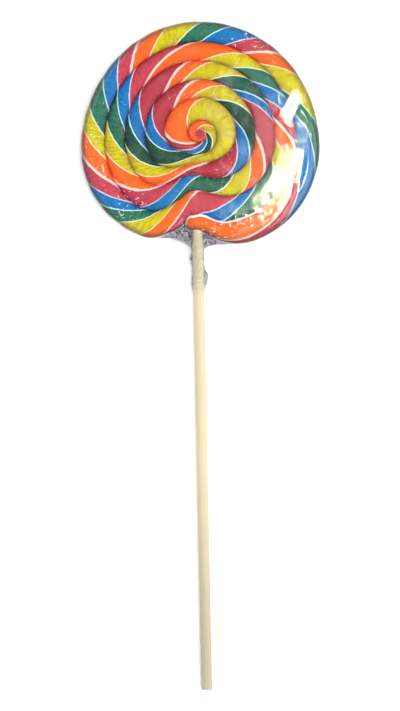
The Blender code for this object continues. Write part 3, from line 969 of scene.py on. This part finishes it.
class Film:
    """The wrapper as one thin skin: a pillow over the disc, two webs below it and a sleeve on the stick."""

    def __init__(self, candy_tree):
        points = candy_outline()
        self.candy_tree = candy_tree
        self.candy = Outline(points, RIM_GAP)
        self.hull = Outline(points[convex_hull_2d(points.tolist())], RIM_GAP)
        self.top_y = points[:, 1].max() + RIM_GAP
        self.bottom_y = points[:, 1].min() - RIM_GAP
        self.probe = np.arange(*PROBES)

    def sides(self, y):
        """The film's left and right x at a given y: the candy's, or below it the web's and sleeve's."""
        depth = self.candy.depth(self.probe, np.full_like(self.probe, y))
        filled = self.probe[depth > 0]
        tube = tube_radius(y)
        left = STICK_X - tube - web_reach(LEFT_WEB, y) - bulge_reach(LEFT_BULGES, y)
        right = STICK_X + tube + web_reach(RIGHT_WEB, y) + bulge_reach(RIGHT_BULGES, y)
        if len(filled) and (y > LOBES_Y or filled[0] < LOBES_APART[0]):
            left = filled[0] - SIDE_GAP
        if len(filled) and (y > LOBES_Y or filled[-1] > LOBES_APART[1]):
            right = filled[-1] + SIDE_GAP
        return left, right

    def candy_reach(self, x, y, under):
        """How far the candy reaches from mid level at places along one row."""
        side = -1 if under else 1
        reach = []
        for place in zip(x, y):
            hit = self.candy_tree.ray_cast((*place, MIDDLE_Z + RAY_HEIGHT * side), (0, 0, -side))[0]
            reach.append(side * (hit.z - MIDDLE_Z) if hit else 0.0)
        return np.array(reach)

    def height(self, x, y, under):
        """Half thickness at places along one row, and what the film's material reads there."""
        candy_depth = self.candy.depth(x, y)
        depth = np.minimum(self.hull.depth(x, y), candy_depth + NOTCH_REACH)
        inside = np.clip(depth / RIM_ROUNDING, 0, 1)
        if under:
            height = FILM_BELOW * np.sqrt(np.clip(1 - (1 - inside) ** UNDER_RIM_POWER, 0, 1))
        else:
            past = SLOPE_SHARPNESS * ((np.hypot(x, y) - SLOPE_RADIUS) / SLOPE_BLEND)
            fall = SKIN_SLOPE * SLOPE_BLEND * np.logaddexp(0, past) / SLOPE_SHARPNESS
            height = (FILM_CREST - fall) * np.sqrt(np.clip(1 - (1 - inside) ** RIM_POWER, 0, 1))
            ridges, near = creases(x, y)
            height = pulled(x, y, height + relief(x, y, depth) * (1 - near)) + ridges
        tube = np.sqrt(np.clip(tube_radius(y) ** 2 - (x - STICK_X) ** 2, 0, None)) * (y < 0)
        cover = self.candy_reach(x, y, under)
        cover = np.where(cover > 0, cover + FILM_GAP, 0)
        height = (np.clip(height, 0, None) ** COVER_POWER + cover ** COVER_POWER) ** (1 / COVER_POWER)
        height = np.minimum(height, FILM_BELOW if under else FILM_LIMIT)
        web = WEB_HALF_GAP + WEB_WAVE[0] * np.sin(x * WEB_WAVE[1] + y) * (depth < 0)
        height = np.maximum(np.maximum(height, tube), web)
        gathered = smooth(-candy_depth / GATHERED_WIDTH) * (y < 0)
        on_stick = 1 - smooth(np.abs(x - STICK_X), *ON_STICK)
        creased = 0 * x if under else finely_creased(x, y)
        return height, gathered, on_stick, creased


def film_mesh(candy_tree):
    """The wrapper's skin as rings, one for each row, closed at the top and open at the sleeve's end."""
    film = Film(candy_tree)
    rows = [film.top_y - down for down in TOP_ROWS]
    rows += list(np.arange(rows[-1] - ROW_STEP, film.bottom_y + WEB_ROWS_START, -ROW_STEP))
    rows += list(np.arange(rows[-1] - WEB_ROW_STEP, film.bottom_y + WEB_ROWS_END, -WEB_ROW_STEP))
    rows += list(np.linspace(rows[-1] - ROW_STEP, SLEEVE_END_Y, SLEEVE_ROWS))
    vertices, marks, rings = [], [], []
    for y in rows:
        left, right = film.sides(y)
        first = len(vertices)
        for count, under in FILM_COLUMNS:
            steps = np.arange(count + 1)
            crowded = (1 - np.cos(math.pi * steps / count)) / 2
            x = left + (right - left) * (CROWDING * crowded + (1 - CROWDING) * steps / count)
            height, *looks = film.height(x, np.full_like(x, y), under)
            height[0] = height[-1] = 0
            row = list(zip(x, [y] * len(x), MIDDLE_Z - height if under else MIDDLE_Z + height))
            mark = list(zip(*looks))
            vertices += row[:0:-1] if under else row[:-1]
            marks += mark[:0:-1] if under else mark[:-1]
        rings.append(range(first, len(vertices)))
    pole = len(vertices)
    vertices.append((sum(film.sides(rows[0])) / 2, film.top_y, MIDDLE_Z))
    marks.append((0.0, 0.0, 0.0))
    faces = []
    ring_size = len(rings[0])
    for index in range(ring_size):
        after = (index + 1) % ring_size
        faces.append([pole, rings[0][index], rings[0][after]])
        for here, below in zip(rings, rings[1:]):
            faces.append([here[index], below[index], below[after], here[after]])
    corners = [marks[vertex] for face in faces for vertex in face]
    creased = [(mark[2], 0.0) for mark in corners]
    return vertices, faces, {"gather": [mark[:2] for mark in corners], "crease": creased}


# ---- Studio, in metres ----
CAMERA_DISTANCE = 2.0
CAMERA_LENS = 141.0
VIEW_TURN = -1.15
# Where the camera aims, from the low corner of the whole object.
CAMERA_AIM = (0.0829, 0.2409)
FLOOR_HALF_SIDE = 12.0
FLOOR_COLOURS = (grey(0.96), grey(0.98))
# The lamps as name, place, width, power and colour. The film mirrors the sheen and the glint at the
# disc's right side, and the edge lamp in the folds along its left side.
LAMPS = (("key", (1.5, -0.5, 1.7), 2.4, 45.0, grey(1.0)),
         ("fill", (-1.5, 1.0, 1.6), 1.6, 9.0, grey(1.0)),
         ("sheen", (0.349, -0.007, 2.4), 0.26, 10.5, (1.0, 0.97, 0.60)),
         ("glint", (0.384, 0.299, 2.4), 0.11, 1.9, (0.95, 1.0, 0.90)),
         ("edge", (-0.56, 0.04, 2.4), 0.10, 1.4, grey(1.0)))
# Brightness of the sky, as rows that add up: a way to look, then the closeness to it (as a cosine) where a
# change starts and ends, and the brightness there. It is pale low down and darker overhead, with a glow
# round the sheen and a soft veil beside it.
SKY = (((0, 0, 1), 0.80, 0.97, 1.15, 0.15), ((0.289, 0.028, 2.4), 0.9954, 0.9995, 0.0, 4.0),
       ((0.042, 0.0895, 0.995), 0.9994, 0.99997, 0.0, 5.0))
SKY_COLOUR = (0.97, 0.98, 1.0)


def add_floor():
    """A plain pale floor under the object's lowest point."""
    nodes = Nodes(bpy.data.materials.new("pale_floor"))
    mottle = nodes.noise(nodes.add("ShaderNodeTexCoord").outputs["Object"], 30.0, 3.0)
    colour = nodes.mix(nodes.range(mottle, 0.3, 0.7), *FLOOR_COLOURS)
    mesh = bpy.data.meshes.new("floor")
    side, level = FLOOR_HALF_SIDE, CAD_BOX[0].z
    corners = [(-side, -side, level), (side, -side, level), (side, side, level), (-side, side, level)]
    mesh.from_pydata(corners, [], [(0, 1, 2, 3)])
    mesh.materials.append(nodes.finish(principled(nodes, colour, 0.8, specular=0.2)))
    floor = add_object("floor", mesh)


def add_sky():
    """A soft sky whose brightness is the sum of the rows of SKY."""
    nodes = Nodes(bpy.data.worlds.new("studio"), "ShaderNodeOutputWorld")
    looking = nodes.add("ShaderNodeTexCoord").outputs["Generated"]
    strength = 0.0
    for way, start, end, at_start, at_end in SKY:
        inputs = {0: looking, 1: Vector(way).normalized()}
        toward = nodes.add("ShaderNodeVectorMath", inputs, operation="DOT_PRODUCT").outputs["Value"]
        strength = nodes.plus(strength, nodes.range(toward, start, end, at_start, at_end))
    inputs = {"Color": SKY_COLOUR, "Strength": strength}
    bpy.context.scene.world = nodes.finish(nodes.add("ShaderNodeBackground", inputs))


def add_lamp(name, place, width, power, colour):
    """A round lamp that faces the middle of the disc."""
    data = bpy.data.lights.new(name, "AREA")
    data.shape = "DISK"
    data.size = width
    data.energy = power
    data.color = colour
    lamp = add_object(name, data)
    disc = Vector((0.0, 0.0, CAD_BOX[1].z))
    lamp.location = place
    lamp.rotation_mode = "QUATERNION"
    lamp.rotation_quaternion = (disc - Vector(place)).to_track_quat("-Z", "Y")


def add_camera():
    """The camera, looking straight down as in the photo."""
    low, high = CAD_BOX
    data = bpy.data.cameras.new("camera")
    data.lens = CAMERA_LENS
    view = add_object("camera", data)
    view.location = (low.x + CAMERA_AIM[0], low.y + CAMERA_AIM[1], high.z + CAMERA_DISTANCE)
    view.rotation_euler = (0, 0, math.radians(VIEW_TURN))
    bpy.context.scene.camera = view


# ---- Assembly ----
vertices, faces, uv_sets = candy_mesh()
candy = add_piece("candy_rope", vertices, faces, uv_sets, candy_material())
candy_tree = BVHTree.FromPolygons(vertices, faces)
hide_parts("candy")

stick = add_piece("stick_dowel", *stick_mesh(), stick_material(), smooth_angle=STICK_SHARP_ANGLE)
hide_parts("stick")

wrapper = add_piece("wrapper_film", *film_mesh(candy_tree), film_material())
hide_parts("wrapper")

add_floor()
add_sky()
for lamp_row in LAMPS:
    add_lamp(*lamp_row)
add_camera()
bpy.context.scene.view_settings.view_transform = "Standard"
